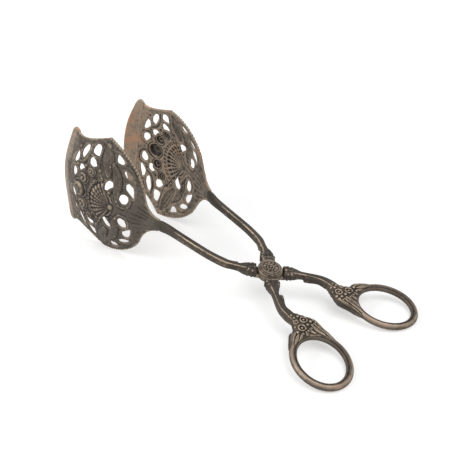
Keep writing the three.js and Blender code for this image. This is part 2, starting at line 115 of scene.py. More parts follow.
# Sawn piercings of the upper half, as corners that are rounded off.
PIERCINGS = [
    [(94.4, 10), (95.8, 6.6), (98.8, 5.8), (100.8, 8.4), (100.2, 12), (97.8, 13.8), (95, 12.8)],
    [(91.4, 12.8), (94.6, 15.4), (97.3, 17.6), (97.8, 20.8), (96.2, 22.2), (93.4, 21.4), (91.8, 17.6)],
    [(92.6, 24.2), (95.4, 24.2), (98.8, 25.6), (101.2, 28.2), (100.4, 29.6), (97.4, 28.6), (94.6, 26.8)],
    [(101.9, 34.3), (104, 32.6), (107.6, 32.8), (108.5, 35), (108.6, 37.7), (106, 36.9)],
    [(106, 16), (106.6, 18.8), (110, 18.8), (112.6, 15.6), (112.4, 11.6), (110.8, 10.8), (108.6, 13.6)],
    [(122, 23.4), (124.6, 21.8), (128.6, 21.8), (129.2, 25), (127.2, 27.8), (124, 26.4)],
    [(122, 30.4), (125.4, 29.8), (128.4, 30.4), (128.4, 33), (126.6, 36.6), (124, 37.5), (122.2, 36.4)],
    [(131.6, 31), (132.2, 33.6), (134.4, 32.6), (137.4, 28), (137.8, 24), (135.6, 22.4), (133.4, 26.6)],
    [(132.4, 16.6), (134.8, 15), (136.2, 12), (138.2, 13.6), (137.6, 17), (134.6, 18.2)],
    [(139.6, 19.6), (143.4, 15.4), (145, 15.4), (143.6, 20.6), (141.4, 25), (140, 24)],
    [(139.8, 9), (141.6, 6.2), (143.4, 4.6), (145, 6.4), (144.8, 10.4), (142.4, 12.2), (140.4, 11.4)],
]
PIERCING_EASE = 0.05
CORNER_SHARE = 0.28
CORNER_STEPS = 3
BEAD_SPACING = 2.2
BEAD_RADIUS = 1.0
BEAD_INSET = 0.75
INWARD = np.array((0.6, -0.8))


def rounded(corners):
    """A closed line with rounded corners."""
    corners = np.array(corners, float)
    before = corners + CORNER_SHARE * (np.roll(corners, 1, 0) - corners)
    after = corners + CORNER_SHARE * (np.roll(corners, -1, 0) - corners)
    bends = []
    for start, corner, end in zip(before, corners, after):
        bends += [start, *bezier((start, corner, end), CORNER_STEPS)]
    return np.array(bends)


piercings = [rounded(corners) for corners in PIERCINGS]


def spaced(line, spacing):
    """Points at even distances along a line."""
    walked = np.concatenate([[0], np.cumsum(np.hypot(*np.diff(line, axis=0).T))])
    stops = np.arange(spacing / 2, walked[-1], spacing)
    return np.stack([np.interp(stops, walked, line[:, k]) for k in range(2)], -1)


beaded_line = back_edge + INWARD * BEAD_INSET
beads = spaced(beaded_line, BEAD_SPACING)


def inside_by(spots, closed_line):
    """How far each spot lies inside a closed line, and less than zero outside."""
    nearest = np.full(len(spots), np.inf)
    is_inside = np.zeros(len(spots), bool)
    for start, end in zip(closed_line, np.roll(closed_line, -1, 0)):
        edge = end - start
        share = np.clip((spots - start) @ edge / (edge @ edge), 0, 1)
        nearest = np.minimum(nearest, np.hypot(*(spots - start - share[:, None] * edge).T))
        is_crossed = (start[1] > spots[:, 1]) != (end[1] > spots[:, 1])
        crossing = start[0] + (spots[:, 1] - start[1]) * edge[0] / (edge[1] or 1)
        is_inside ^= is_crossed & (spots[:, 0] < crossing)
    return np.where(is_inside, nearest, -nearest)


def beside_line(spots, line):
    """How far each spot lies from a line of points, how far along it, and on its left or right."""
    nearest = np.full(len(spots), np.inf)
    along = np.zeros(len(spots))
    side = np.ones(len(spots))
    walked = 0.0
    for start, end in zip(line[:-1], line[1:]):
        edge = end - start
        length = math.hypot(*edge)
        share = np.clip((spots - start) @ edge / length**2, 0, 1)
        off = spots - start - share[:, None] * edge
        distance = np.hypot(*off.T)
        is_nearer = distance < nearest
        nearest = np.where(is_nearer, distance, nearest)
        along = np.where(is_nearer, walked + share * length, along)
        side = np.where(is_nearer, np.sign(edge[0] * off[:, 1] - edge[1] * off[:, 0]), side)
        walked += length
    return nearest, along, side


def polar(spots, centre):
    off = spots - np.array(centre)
    return np.hypot(*off.T), np.arctan2(off[:, 1], off[:, 0])


def folded(places):
    """Places on the sheet, height first, as forward and height with the bottom half turned up."""
    return np.stack([places[:, 1], np.abs(places[:, 0])], -1)


def beside_piercings(spots):
    return -np.max([inside_by(spots, hole) for hole in piercings], axis=0) - PIERCING_EASE


def beside_beads(spots):
    return np.min([polar(spots, bead)[0] for bead in beads], axis=0)


def sawn(places):
    """How far a place lies inside the scoop's metal."""
    spots = folded(places)
    metal = np.minimum(inside_by(spots, outline), beside_piercings(spots))
    return np.maximum(metal, BEAD_RADIUS - beside_beads(spots))


# Stamped relief, from the lowest forms to the highest.
STRAP_HEIGHT = 0.15
STRAP_HALF_WIDTH = 1.0
NECK_ROOT = (64.0, 0.0)
NECK_FLUTES = 22
NECK_FLUTE_HEIGHT = 0.22
NECK_LEAF_START = 9
NECK_LEAF_REACH = 26
NECK_LEAF_TIP = 12
NECK_TIP_ANGLE = 0.13
NECK_SCALLOPS = 2
BROAD_FORMS = [
    ([(102.2, 8), (103.5, 16.2), (104.8, 23.8), (109.6, 30.6)], 3.4, 0.8),
    ([(111.6, 22.6), (113.8, 30), (116.8, 39.4)], 4.7, 0.8),
]
VEIN_HEIGHT = 0.06
FINE_INSIDE = 0.65
CURLS_INSIDE = 0.3
RIBS_INSIDE = 0.5
THIN_SCROLLS = [
    ([(105.4, 3.4), (107.6, 7.2), (111.2, 9.7), (114.6, 13.2), (116.8, 19)], 0.9, 0.55),
    ([(129.8, 35), (130.3, 29), (132, 24.4), (135.2, 20.6), (139, 18.8)], 1.3, 0.5),
    ([(120.8, 28.6), (125.4, 28.5), (130, 28.8)], 0.9, 0.4),
    ([(138.4, 10), (138.9, 14), (140.6, 14.2), (146, 13.2)], 1.0, 0.4),
    ([(101.6, 6.2), (99.6, 3.6), (96, 3.8), (93.2, 7), (92.8, 11.6)], 1.1, 0.45),
    ([(94.4, 13.2), (91, 11.8), (89.9, 16), (91.2, 20.8), (94.6, 24)], 1.0, 0.25),
    ([(92.8, 22.6), (92.2, 25.6), (96, 30.8), (101.6, 33)], 1.0, 0.25),
    ([(101.2, 32), (103.4, 37), (108, 39), (112, 38.6)], 1.0, 0.25),
    ([(140.2, 3), (142.6, 2.6), (146, 5), (146.6, 10.6), (144, 14)], 1.0, 0.35),
    ([(121, 40.6), (127, 38.8), (133, 36.2), (140, 33.4)], 0.8, 0.12),
    ([(117.6, 20.6), (120.4, 25), (120.8, 33), (119.6, 41)], 0.8, 0.35),
    ([(126.6, 13.6), (128.4, 15.6), (131, 15.4)], 0.7, 0.5),
]
CURLS = [
    ((101.8, 7.0), 1.8), ((108.2, 10.6), 1.6), ((111.0, 28.2), 1.5),
    ((118.4, 22.0), 1.6), ((130.6, 19.8), 1.5), ((139.2, 29.4), 1.5),
    ((139.2, 16.4), 1.4), ((121.4, 13.0), 1.3), ((140.0, 2.2), 1.4),
]
CURL_HEIGHT = 1.2
CURL_GROOVE = 0.4
SHELL_APEX = (106.2, 0.0)
SHELL_START = 1.5
SHELL_REACH = 17.4
SHELL_HEIGHT = 1.05
SHELL_RIBS = 11
SHELL_HALF_ANGLE = math.radians(66)
PEARL_ROWS = [(15.1, 1.0), (12.4, 0.85), (10.1, 0.65)]
PEARL_HEIGHT = 0.5
LOOP_REACH = 19.4
LOOP_RADIUS = 1.15
LOOP_HEIGHT = 0.75
LOOPS = 15
KNOT_RADIUS = 2.2
KNOT_HEIGHT = 1.3
ROSES = [((134.6, 0), 5.4, 3.0, 0.12), ((131.4, 10.6), 3.7, 1.95, 0.45), ((125.2, 18), 2.9, 1.5, 0.45)]
ROSE_PETAL_HEIGHT = 0.28
ROSE_COLLAR_HEIGHT = 0.6
BEAD_HEIGHT = 0.35
BORDER_INSET = 4.2
BORDER_LINE_HEIGHT = 0.2
LIP_CREASE = 149.4
LIP_SWEEP = 6.0
CREASE_DEPTH = 0.14
CREASE_HALF_WIDTH = 0.8
CHASING_WAVES = [(3.1, 1.9), (2.3, -2.9)]
CHASING_HEIGHT = 0.05
DENT_WAVES = [(0.9, 1.3), (1.1, -0.7)]
DENT_HEIGHT = 0.06
LIP_DENT_HEIGHT = 0.02
DENTS_INSIDE = 0.4


def swell(share):
    """A rounded ridge across a share of its half width."""
    return np.clip(1 - share**2, 0, 1) ** 0.75


def ramp(distance, length):
    """0 up to a place, and rising evenly to 1 over a length past it."""
    return np.clip(distance / length, 0, 1)


def rippled(x, h, waves):
    """Waves across each other, up and down by 1 at most, from how fast each runs forward and up."""
    return np.prod([np.sin(ahead * x + upward * h) for ahead, upward in waves], axis=0)


def smooth_line(points, count):
    """A smooth line through points, with so many steps between neighbours."""
    points = np.array(points, float)
    ends = np.concatenate([2 * points[:1] - points[1:2], points, 2 * points[-1:] - points[-2:-1]])
    share = np.arange(count)[:, None] / count
    spans = []
    for before, start, end, after in zip(ends, ends[1:], ends[2:], ends[3:]):
        bend = 2 * before - 5 * start + 4 * end - after
        twist = 3 * start - before - 3 * end + after
        spans.append(start + share / 2 * (end - before + share * (bend + share * twist)))
    return np.concatenate([*spans, points[-1:]])


def neck_relief(spots):
    """A long leaf on the neck, of flutes that end in a scalloped fringe."""
    reach, turn = polar(spots, NECK_ROOT)
    flute = np.abs(np.cos(NECK_FLUTES * turn))
    end = NECK_LEAF_REACH + NECK_LEAF_TIP * np.exp(-((turn / NECK_TIP_ANGLE) ** 2)) + NECK_SCALLOPS * flute
    return NECK_FLUTE_HEIGHT * flute**0.8 * ramp(reach - NECK_LEAF_START, 6) * ramp(end - reach, 2.5)


def curl_relief(spots, centre, radius):
    """The rolled end of a scroll: a ball with a groove round it."""
    share = polar(spots, centre)[0] / radius
    return CURL_HEIGHT * swell(share) - CURL_GROOVE * swell((share - 0.7) / 0.22)


def shell_relief(spots, rib_share):
    """A fan of round ribs with pearls on them, inside a fringe of small loops."""
    reach, turn = polar(spots, SHELL_APEX)
    rib_angle = 2 * SHELL_HALF_ANGLE / SHELL_RIBS
    across = np.abs((turn / rib_angle + 0.5) % 1 - 0.5) * 2
    rise = SHELL_HEIGHT * ramp(reach - SHELL_START, 8) ** 0.6
    end = ramp(SHELL_REACH - 1.5 * across**2 - reach, 0.9) ** 0.6
    fan = rib_share * rise * end * (0.25 + 0.75 * swell(across * 0.98))
    sideways = across / 2 * rib_angle * reach
    for pearl_reach, pearl_radius in PEARL_ROWS:
        fan = fan + PEARL_HEIGHT * swell(np.hypot(reach - pearl_reach, sideways) / pearl_radius)
    fan *= turn < SHELL_HALF_ANGLE
    loop_angle = 2 * SHELL_HALF_ANGLE / LOOPS
    beside = ((turn / loop_angle + 0.5) % 1 - 0.5) * loop_angle * LOOP_REACH
    loop = np.hypot(reach - LOOP_REACH, beside) / LOOP_RADIUS
    fringe = LOOP_HEIGHT * swell((loop - 0.7) / 0.35) * (turn < SHELL_HALF_ANGLE * 1.03)
    knot = KNOT_HEIGHT * rib_share**2 * swell(reach / KNOT_RADIUS)
    return np.max([fan, fringe, knot], axis=0)


def rose_relief(spots, centre, radius, height, eye_depth):
    """A domed rose: petals round a ringed eye, inside a narrow collar."""
    reach, turn = polar(spots, centre)
    share = reach / radius
    dome = height * np.sqrt(np.clip(1 - share**2, 0, 1))
    petals = ROSE_PETAL_HEIGHT * np.abs(np.cos(3 * turn)) * swell((share - 0.76) / 0.22)
    eye = eye_depth * (swell(share / 0.26) - swell((share - 0.44) / 0.16))
    collar = ROSE_COLLAR_HEIGHT * swell((share - 1.17) / 0.16)
    return np.maximum(dome + (petals + eye) * (share < 1), collar)


def border_relief(spots):
    """Beads along the back edge, and a line that sets its plain border off."""
    beading = BEAD_HEIGHT * swell(beside_beads(spots) / BEAD_RADIUS)
    line = BORDER_LINE_HEIGHT * swell((beside_line(spots, beaded_line)[0] - BORDER_INSET) / 0.8)
    return np.maximum(beading, line)


def beside_form(spots, route):
    """How far each spot lies from a form's middle line, how wide the form is there, and the side."""
    path = smooth_line(route, 6)
    distance, along, side = beside_line(spots, path)
    length = np.hypot(*np.diff(path, axis=0).T).sum()
    return distance, 0.5 + 0.5 * np.sin(math.pi * np.clip(along / length, 0, 1)), side


def stamped(places):
    """How far the die pushes the sheet out, and how far that shows inside, where fine forms blur."""
    spots = folded(places)
    strap = (beside_piercings(spots) - STRAP_HALF_WIDTH) / STRAP_HALF_WIDTH
    fine = [STRAP_HEIGHT * swell(strap), neck_relief(spots), border_relief(spots)]
    for route, half_width, height in BROAD_FORMS:
        distance, taper, side = beside_form(spots, route)
        share = distance / (half_width * taper)
        veins = VEIN_HEIGHT * np.cos(4 * math.pi * share * side) * (share < 0.9)
        fine.append(height * np.sqrt(np.clip(1 - share**2, 0, 1)) + veins)
    for route, half_width, height in THIN_SCROLLS:
        distance, taper, _ = beside_form(spots, route)
        fine.append(height * swell(distance / (half_width * taper)))
    curls = np.max([curl_relief(spots, *curl) for curl in CURLS], axis=0)
    roses = np.max([rose_relief(spots, *rose) for rose in ROSES], axis=0)
    h, x = places.T
    crease = x - LIP_CREASE + LIP_SWEEP * (h / SCOOP_HALF_HEIGHT) ** 2
    crease = CREASE_DEPTH * swell(crease / CREASE_HALF_WIDTH)
    is_behind_lip = x < LIP_CREASE - LIP_SWEEP
    chasing = CHASING_HEIGHT * rippled(x, h, CHASING_WAVES) * is_behind_lip
    dents = rippled(x, h, DENT_WAVES) * np.where(is_behind_lip, DENT_HEIGHT, LIP_DENT_HEIGHT)
    fine = np.max(fine, axis=0)
    outside = np.max([roses, shell_relief(spots, 1), fine, curls], axis=0) + chasing + dents
    blurred = [FINE_INSIDE * fine, CURLS_INSIDE * curls]
    inside = np.max([roses, shell_relief(spots, RIBS_INSIDE), *blurred], axis=0) + DENTS_INSIDE * dents
    return outside - crease, inside - crease


def scoop_surfaces(places):
    """Outside and inside of the sheet, as drawn points."""
    h, x = places.T
    nudge = 0.01
    forward_slope = scoop_middle(x + nudge, h) - scoop_middle(x - nudge, h)
    upward_slope = scoop_middle(x, h + nudge) - scoop_middle(x, h - nudge)
    outward = np.cross(upward_slope, forward_slope)
    outward /= np.linalg.norm(outward, axis=1)[:, None]
    outside, inside = stamped(places)
    half_wall = SCOOP_WALL / 2
    sheet = scoop_middle(x, h)
    return sheet + outward * (outside + half_wall)[:, None], sheet + outward * (inside - half_wall)[:, None]


PULL_ROUNDS = 3
PULL_LIMIT = 0.7
RIM_TURNS = 3


def relief_plate(step, low, high, inside, surfaces, rim_bulge):
    """A plate on a grid: metal where inside() is over zero, between two worked surfaces. Its border
    is pulled onto the outline and closed by a rounded rim."""
    counts = [math.ceil((b - a) / step) + 1 for a, b in zip(low, high)]
    axes = [a + step * np.arange(count) for a, count in zip(low, counts)]
    places = np.stack(np.meshgrid(*axes, indexing="ij"), -1).reshape(-1, 2)
    depth = inside(places).reshape(counts)
    kept = depth[:-1, :-1] + depth[1:, :-1] + depth[1:, 1:] + depth[:-1, 1:] > 0
    a, b, c, d = kept[:-1, :-1], kept[1:, :-1], kept[1:, 1:], kept[:-1, 1:]
    touches_at_corner = (a & c & ~b & ~d) | (b & d & ~a & ~c)
    kept[:-1, :-1] |= touches_at_corner
    kept[1:, :-1] |= touches_at_corner
    number = np.arange(len(places)).reshape(counts)
    cells = np.stack([number[:-1, :-1], number[1:, :-1], number[1:, 1:], number[:-1, 1:]], -1)
    framed = np.pad(kept, 1)
    beyond = (framed[1:-1, :-2], framed[2:, 1:-1], framed[1:-1, 2:], framed[:-2, 1:-1])
    edges = [cells[kept & ~past][:, [k, (k + 1) % 4]] for k, past in enumerate(beyond)]
    edges = np.concatenate(edges)
    border = np.unique(edges)

    def slope(spots):
        nudge = 0.02
        ahead = [inside(spots + shift) - inside(spots - shift) for shift in nudge * np.eye(2)]
        return np.stack(ahead, -1) / (2 * nudge)

    for _ in range(PULL_ROUNDS):
        spots = places[border]
        lean = slope(spots)
        pull = inside(spots)[:, None] * lean / np.maximum((lean**2).sum(1), 0.2)[:, None]
        places[border] = spots - np.clip(pull, -PULL_LIMIT * step, PULL_LIMIT * step)
    used = np.unique(cells[kept])
    renumber = np.full(len(places), -1)
    renumber[used] = np.arange(len(used))
    quads = renumber[cells[kept]]
    top, bottom = surfaces(places[used])

    outward = -slope(places[border])
    outward /= np.maximum(np.linalg.norm(outward, axis=1), 1e-6)[:, None]
    spots = renumber[border]
    half = (top[spots] - bottom[spots]) / 2
    middle = (top[spots] + bottom[spots]) / 2
    nudge = 0.05
    out = sum(surfaces(places[border] + nudge * outward)) / 2 - middle
    along_wall = half / np.linalg.norm(half, axis=1)[:, None]
    out -= (out * along_wall).sum(1)[:, None] * along_wall
    out *= (np.linalg.norm(half, axis=1) / np.linalg.norm(out, axis=1))[:, None]
    rings = [spots]
    points = [top, bottom]
    for k in range(1, RIM_TURNS + 1):
        turn = math.pi * k / (RIM_TURNS + 1)
        rings.append(2 * len(used) + (k - 1) * len(border) + np.arange(len(border)))
        points.append(middle + math.cos(turn) * half + math.sin(turn) * rim_bulge * out)
    rings.append(spots + len(used))
    ends = np.searchsorted(border, edges)
    walls = [
        np.stack([over[ends[:, 1]], over[ends[:, 0]], under[ends[:, 0]], under[ends[:, 1]]], -1)
        for over, under in zip(rings, rings[1:])
    ]
    faces = np.concatenate([quads, quads[:, ::-1] + len(used), *walls])
    return np.concatenate(points), faces.tolist()


# Points are drawn flat, in millimetres, with the rivet at zero and z up along it. The tongs lie tilted on
# the table. A piece is drawn for the lower half, and mirrored from side to side for the upper one.
MM = 0.001
HALVES = {"lower": 1, "upper": -1}
hinge = frame["joints"][0]
rivet_place = np.array(hinge["pos_m"])
rivet_up = np.array(hinge["axis"])
left = np.array((0.0, 1.0, 0.0))
forward = np.cross(left, rivet_up)


def laid(points):
    """Drawn points, in millimetres, as places in the frame, in metres."""
    places = rivet_place + MM * points @ np.array((forward, left, rivet_up))
    return np.clip(places, *cad_box)


RIDGE_ROUNDS = 14
RIDGE_FULL = 0.22
SHARP_ANGLE = math.radians(62)


def mark_wear_and_painted_light(mesh, rub_and_painted_light):
    """Keeps how far each point stands out of its surroundings, and how much hands rub it, which on some
    pieces also holds painted highlight and painted shade.
    """
    count = len(mesh.vertices)
    places, normals = np.empty(3 * count), np.empty(3 * count)
    mesh.vertices.foreach_get("co", places)
    mesh.vertices.foreach_get("normal", normals)
    places, normals = places.reshape(-1, 3), normals.reshape(-1, 3)
    ends = np.empty(2 * len(mesh.edges), np.int32)
    mesh.edges.foreach_get("vertices", ends)
    one, other = ends[0::2], ends[1::2]
    neighbours = np.bincount(ends, minlength=count)[:, None]
    soft = places.copy()
    for _ in range(RIDGE_ROUNDS):
        total = [
            np.bincount(one, soft[other, k], count) + np.bincount(other, soft[one, k], count)
            for k in range(3)
        ]
        soft = (soft + np.stack(total, -1) / neighbours) / 2
    stands_out = ((places - soft) * normals).sum(1) / (RIDGE_FULL * MM)
    for name, values in (("ridge", np.clip(stands_out, -1, 1)), ("rub_and_painted_light", rub_and_painted_light)):
        kept = mesh.attributes.new(name, "FLOAT", "POINT")
        kept.data.foreach_set("value", np.broadcast_to(values, count).astype(np.float32))


def show(name, node, half, slot, finish, points, faces, rub_and_painted_light):
    """A finished piece in place of a plain node, on the body of that half of the tongs."""
    side = HALVES[half]
    corners = faces if side > 0 else [face[::-1] for face in faces]
    mesh = bpy.data.meshes.new(name)
    mesh.from_pydata(laid(points * (1, side, 1)).tolist(), [], corners)
    mesh.shade_smooth()
    mesh.set_sharp_from_angle(angle=SHARP_ANGLE)
    mesh.materials.append(finish)
    mark_wear_and_painted_light(mesh, rub_and_painted_light)
    piece = bpy.data.objects.new(name, mesh)
    bpy.context.scene.collection.objects.link(piece)
    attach(piece, f"{half}_half")
    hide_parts(node)


class Layer:
    """A socket of a material's nodes. Arithmetic on it adds Math nodes."""

    def __init__(self, tree, socket=None):
        self.tree = tree
        self.socket = socket

    def node(self, kind, settings, inputs, output=0):
        made = self.tree.nodes.new(kind)
        for name, value in settings.items():
            setattr(made, name, value)
        for name, value in inputs.items():
            if isinstance(value, Layer):
                self.tree.links.new(value.socket, made.inputs[name])
            else:
                made.inputs[name].default_value = value
        return Layer(self.tree, made.outputs[output] if made.outputs else None)

    def math(self, operation, first, second):
        return self.node("ShaderNodeMath", {"operation": operation}, {0: first, 1: second})

    def __add__(self, other):
        return self.math("ADD", self, other)

    def __sub__(self, other):
        return self.math("SUBTRACT", self, other)

    def __rsub__(self, other):
        return self.math("SUBTRACT", other, self)

    def __mul__(self, other):
        return self.math("MULTIPLY", self, other)

    __radd__ = __add__
    __rmul__ = __mul__

    def between(self, low, high):
        """0 at low, 1 at high, and smooth between."""
        settings = {"interpolation_type": "SMOOTHSTEP"}
        inputs = {"Value": self, "From Min": low, "From Max": high}
        return self.node("ShaderNodeMapRange", settings, inputs)

    def blend(self, under, over):
        """One colour over another, by this much."""
        return self.node("ShaderNodeMix", {"data_type": "RGBA"}, {0: self, 6: under, 7: over}, 2)


def tint(red, green, blue):
    """A colour as it is seen, 0 to 255, as light."""
    seen = [channel / 255 for channel in (red, green, blue)]
    return (*(c / 12.92 if c <= 0.04045 else ((c + 0.055) / 1.055) ** 2.4 for c in seen), 1.0)


PATCH_SCALE = 90
MOTTLE_SCALE = 420
GRAIN_SCALE = 2600
GRAIN_STRENGTH = 0.22
GRAIN_DEPTH = 0.3 * MM


def plate_finish(name, grime, tarnish, silver, rubbed_and_highlit, copper):
    """Old silver plate: grime in the hollows, brown tarnish over grey silver, bare silver on the ridges,
    and copper where the plate is worn through. The rubbed value also brings in painted highlight and shade."""
    finish = bpy.data.materials.new(name)
    finish.use_nodes = True
    tree = finish.node_tree
    tree.nodes.clear()
    start = Layer(tree)
    where = start.node("ShaderNodeTexCoord", {}, {}, "Object")

    def noise(scale, detail):
        return start.node("ShaderNodeTexNoise", {}, {"Vector": where, "Scale": scale, "Detail": detail})

    def kept(attribute):
        return start.node("ShaderNodeAttribute", {"attribute_name": attribute}, {}, "Fac")

    patches, mottle, grain = noise(PATCH_SCALE, 4), noise(MOTTLE_SCALE, 5), noise(GRAIN_SCALE, 3)
    ridge, rub_and_painted_light = kept("ridge"), kept("rub_and_painted_light")
    worn = ridge + (mottle - 0.5) * 1.1 + (patches - 0.5) * 0.8
    colour = (patches + mottle * 0.35).between(0.4, 0.85).blend(tarnish, silver)
    colour = (worn.between(0, -0.65) * 0.92).blend(colour, grime)
    # Bare silver where ridges and the rubbed value stand high; on the rings this is partly a painted
    # highlight.
    bright = (worn + rub_and_painted_light * 1.4).between(0.15, 1.0)
    colour = (bright * 0.8).blend(colour, rubbed_and_highlit)
    bared = (patches * 0.6 + mottle * 0.4).between(0.4, 0.6).blend(rubbed_and_highlit, copper)
    through = (rub_and_painted_light + worn * 0.25 + (mottle - 0.5) * 0.8 + (patches - 0.5) * 0.8).between(0.5, 1.0)
    colour = (through * 0.9).blend(colour, bared)
    clean = bright * 0.5 + through * 0.35
    roughness = 0.6 - clean * 0.28 + (grain - 0.5) * 0.16
    metallic = 0.55 + clean * 0.4
    height = grain * 0.35 + mottle
    bump = start.node("ShaderNodeBump", {}, {
        "Strength": GRAIN_STRENGTH,
        "Distance": GRAIN_DEPTH,
        "Height": height,
    })
    shader = start.node("ShaderNodeBsdfPrincipled", {}, {
        "Base Color": colour,
        "Roughness": roughness,
        "Metallic": metallic,
        "Normal": bump,
    })
    start.node("ShaderNodeOutputMaterial", {}, {"Surface": shader})
    return finish


SHEET_STEP = 0.4
SHEET_MARGIN = 1.0
SHEET_RIM = 0.7
INSIDE_MARGIN = 0.2
LIP_START = 143.0
LIP_BLEND = 7
LIP_LEAN = 0.16
LIP_EDGE = 9
LIP_EDGE_BLEND = 5
EAR_SETBACK = (1 - EAR_FRONT[0]) * SCOOP_LENGTH
EAR_LEVEL = EAR_FRONT[1] * SCOOP_HALF_HEIGHT
INSIDE_RUB = 0.36
INSIDE_LIP_RUB = 0.34
OUTSIDE_RUB = -0.08
OUTSIDE_LIP_RUB = 0.22
LIP_EDGE_RUB = 0.36
# Painted shade at the rims of the sawn holes: how strong, and over how wide a band.
HOLE_RIM_SHADE = 0.5
HOLE_EDGE = 0.9
pressed_plate = plate_finish(
    "pressed_plate",
    grime=tint(31, 27, 24),
    tarnish=tint(76, 67, 58),
    silver=tint(92, 85, 76),
    rubbed_and_highlit=tint(156, 140, 122),
    copper=tint(178, 132, 103),
)
scoop_mesh = relief_plate(
    SHEET_STEP,
    (-SCOOP_HALF_HEIGHT - SHEET_MARGIN, SCOOP_START - SHEET_MARGIN),
    (SCOOP_HALF_HEIGHT + SHEET_MARGIN, SCOOP_START + SCOOP_LENGTH + SHEET_MARGIN),
    lambda places: sawn(places) - SHEET_RIM * SCOOP_WALL / 2,
    scoop_surfaces,
    SHEET_RIM,
)
scoop_x, scoop_out, scoop_z = scoop_mesh[0].T
scoop_h = scoop_z + SCOOP_DROOP * (scoop_x - SCOOP_START)
is_inside = scoop_out < scoop_middle(scoop_x, scoop_h)[:, 1] + INSIDE_MARGIN
lip_share = ramp(scoop_x + LIP_LEAN * np.maximum(scoop_h, 0) - LIP_START, LIP_BLEND)
from_front = EAR_SETBACK * (scoop_h / EAR_LEVEL) ** 2 + scoop_x - SCOOP_START - SCOOP_LENGTH
edge_share = ramp(from_front + LIP_EDGE, LIP_EDGE_BLEND)
outside_rub = OUTSIDE_LIP_RUB * lip_share + LIP_EDGE_RUB * edge_share + OUTSIDE_RUB
scoop_wear_and_hole_shade = np.where(is_inside, INSIDE_RUB + INSIDE_LIP_RUB * lip_share, outside_rub)
# Painted shade: the rubbed value drops towards the rims of the holes, so their cut edges look shaded.
beside_holes = beside_piercings(np.column_stack([scoop_x, np.abs(scoop_h)]))
scoop_wear_and_hole_shade -= HOLE_RIM_SHADE * (1 - ramp(beside_holes, HOLE_EDGE))
scoop = (*scoop_mesh, scoop_wear_and_hole_shade)
for half in HALVES:
    show(f"{half}_pressed_scoop", f"{half}_scoop", half, "pressed_plate", pressed_plate, *scoop)

# Cast arms: one S-shaped brass casting, silver plated, turned over for the upper half. It runs from a leaf
# tip brazed over the scoop's neck, along a keeled shank and through the pivot's boss to the handle's stem.
# A calyx flares on each side of the boss, and the boss is cut down to half its height for the lap.
LAP_HALF = 2.8
LAP_GAP = 0.15
SWING_RADIUS = 8.9
ARM_STEP = 0.28
ARM_MARGIN = 5.0
ARM_EASE = 0.5
ARM_RIM = 0.3
ARM_STATIONS = [
    (76.5, None, 0.5, 1.0),
    (74.0, None, 0.9, 3.4),
    (71.0, None, 1.5, 4.6),
    (66.0, 22.1, 2.1, 3.6),
    (60.5, 21.5, 2.45, 2.8),
    (47.5, 20.3, 2.5, 2.55),
    (33.8, 18.8, 2.5, 2.55),
    (23.0, 16.4, 2.55, 2.6),
    (18.4, 14.2, 2.3, 2.4),
    (14.6, 12.0, 2.4, 2.5),
    (11.6, 10.1, 3.6, 3.1),
    (7.2, 6.7, 4.3, 2.9),
    (0.0, 0.0, 4.5, 2.8),
    (-7.0, -6.4, 4.3, 2.9),
    (-11.4, -10.0, 3.5, 3.0),
    (-14.2, -12.1, 2.3, 2.5),
    (-17.6, -14.4, 2.2, 2.4),
    (-24.9, -18.6, 2.75, 2.6),
    (-30.6, -19.9, 3.3, 2.7),
    (-36.0, -20.4, 3.4, 2.1),
    (-41.5, -21.0, 2.6, 1.5),
]
ARM_STEPS = 8
CREST_LEAN = 0.6
CREST_LEAN_START = 11
CREST_START = 13
CREST_HEIGHT = 0.2
CREST_HALF_WIDTH = 0.38
STEEP_FALL = 0.4
GENTLE_FALL = 0.2
EDGE_FALL = 0.12
CLASPING_LEAVES = [
    ([(17.3, 11.9), (19.4, 13.2), (22, 14.4), (25, 15.6)], 1.65),
    ([(-19.0, -12.3), (-21, -13.6), (-24, -15.8), (-27.5, -17.4)], 1.6),
]
CALYX_BEADS = [(10.9, 3.5, 1.25), (13.4, 3.1, 1.1)]
CALYX_START = 8
CALYX_END = 16.5
COLLAR_REACH = 1.1
stations = np.array([
    (x, scoop_middle(np.float64(x), np.float64(0))[1] if y is None else y, wide, high)
    for x, y, wide, high in ARM_STATIONS
])
arm_line = smooth_line(stations[:, :2], ARM_STEPS)
arm_sizes = smooth_line(stations[:, 2:], ARM_STEPS)
arm_walked = np.concatenate([[0], np.cumsum(np.hypot(*np.diff(arm_line, axis=0).T))])
pivot_along = arm_walked[np.argmin(np.hypot(*arm_line.T))]


def on_arm(places):
    """Where places lie on the arm: along it from the pivot, across it, and its half width and height."""
    distance, along, side = beside_line(places, arm_line)
    wide, high = (np.interp(along, arm_walked, arm_sizes[:, k]) for k in range(2))
    return pivot_along - along, side * distance, wide, high


def leaf_depth(places, route, half_width):
    """How far a place lies inside a leaf that tapers from a round tip."""
    path = smooth_line(route, 5)
    distance, along, _ = beside_line(places, path)
    length = np.hypot(*np.diff(path, axis=0).T).sum()
    return half_width * (1 - 0.75 * along / length) - distance


def calyx_bead_depth(places):
    along, across, _, _ = on_arm(places)
    return np.max([
        radius - np.hypot(np.abs(along) - bead_along, np.abs(across) - bead_across)
        for bead_along, bead_across, radius in CALYX_BEADS
    ], axis=0)


def bar_inside(places):
    _, across, wide, _ = on_arm(places)
    leaves = [leaf_depth(places, *leaf) for leaf in CLASPING_LEAVES]
    return np.max([wide - np.abs(across), calyx_bead_depth(places), *leaves], axis=0)


def cut_bar(places):
    """The shank and the stem, ending in hollow shoulders round the swing of the other boss."""
    return np.minimum(bar_inside(places), np.hypot(*places.T) - SWING_RADIUS) - ARM_EASE


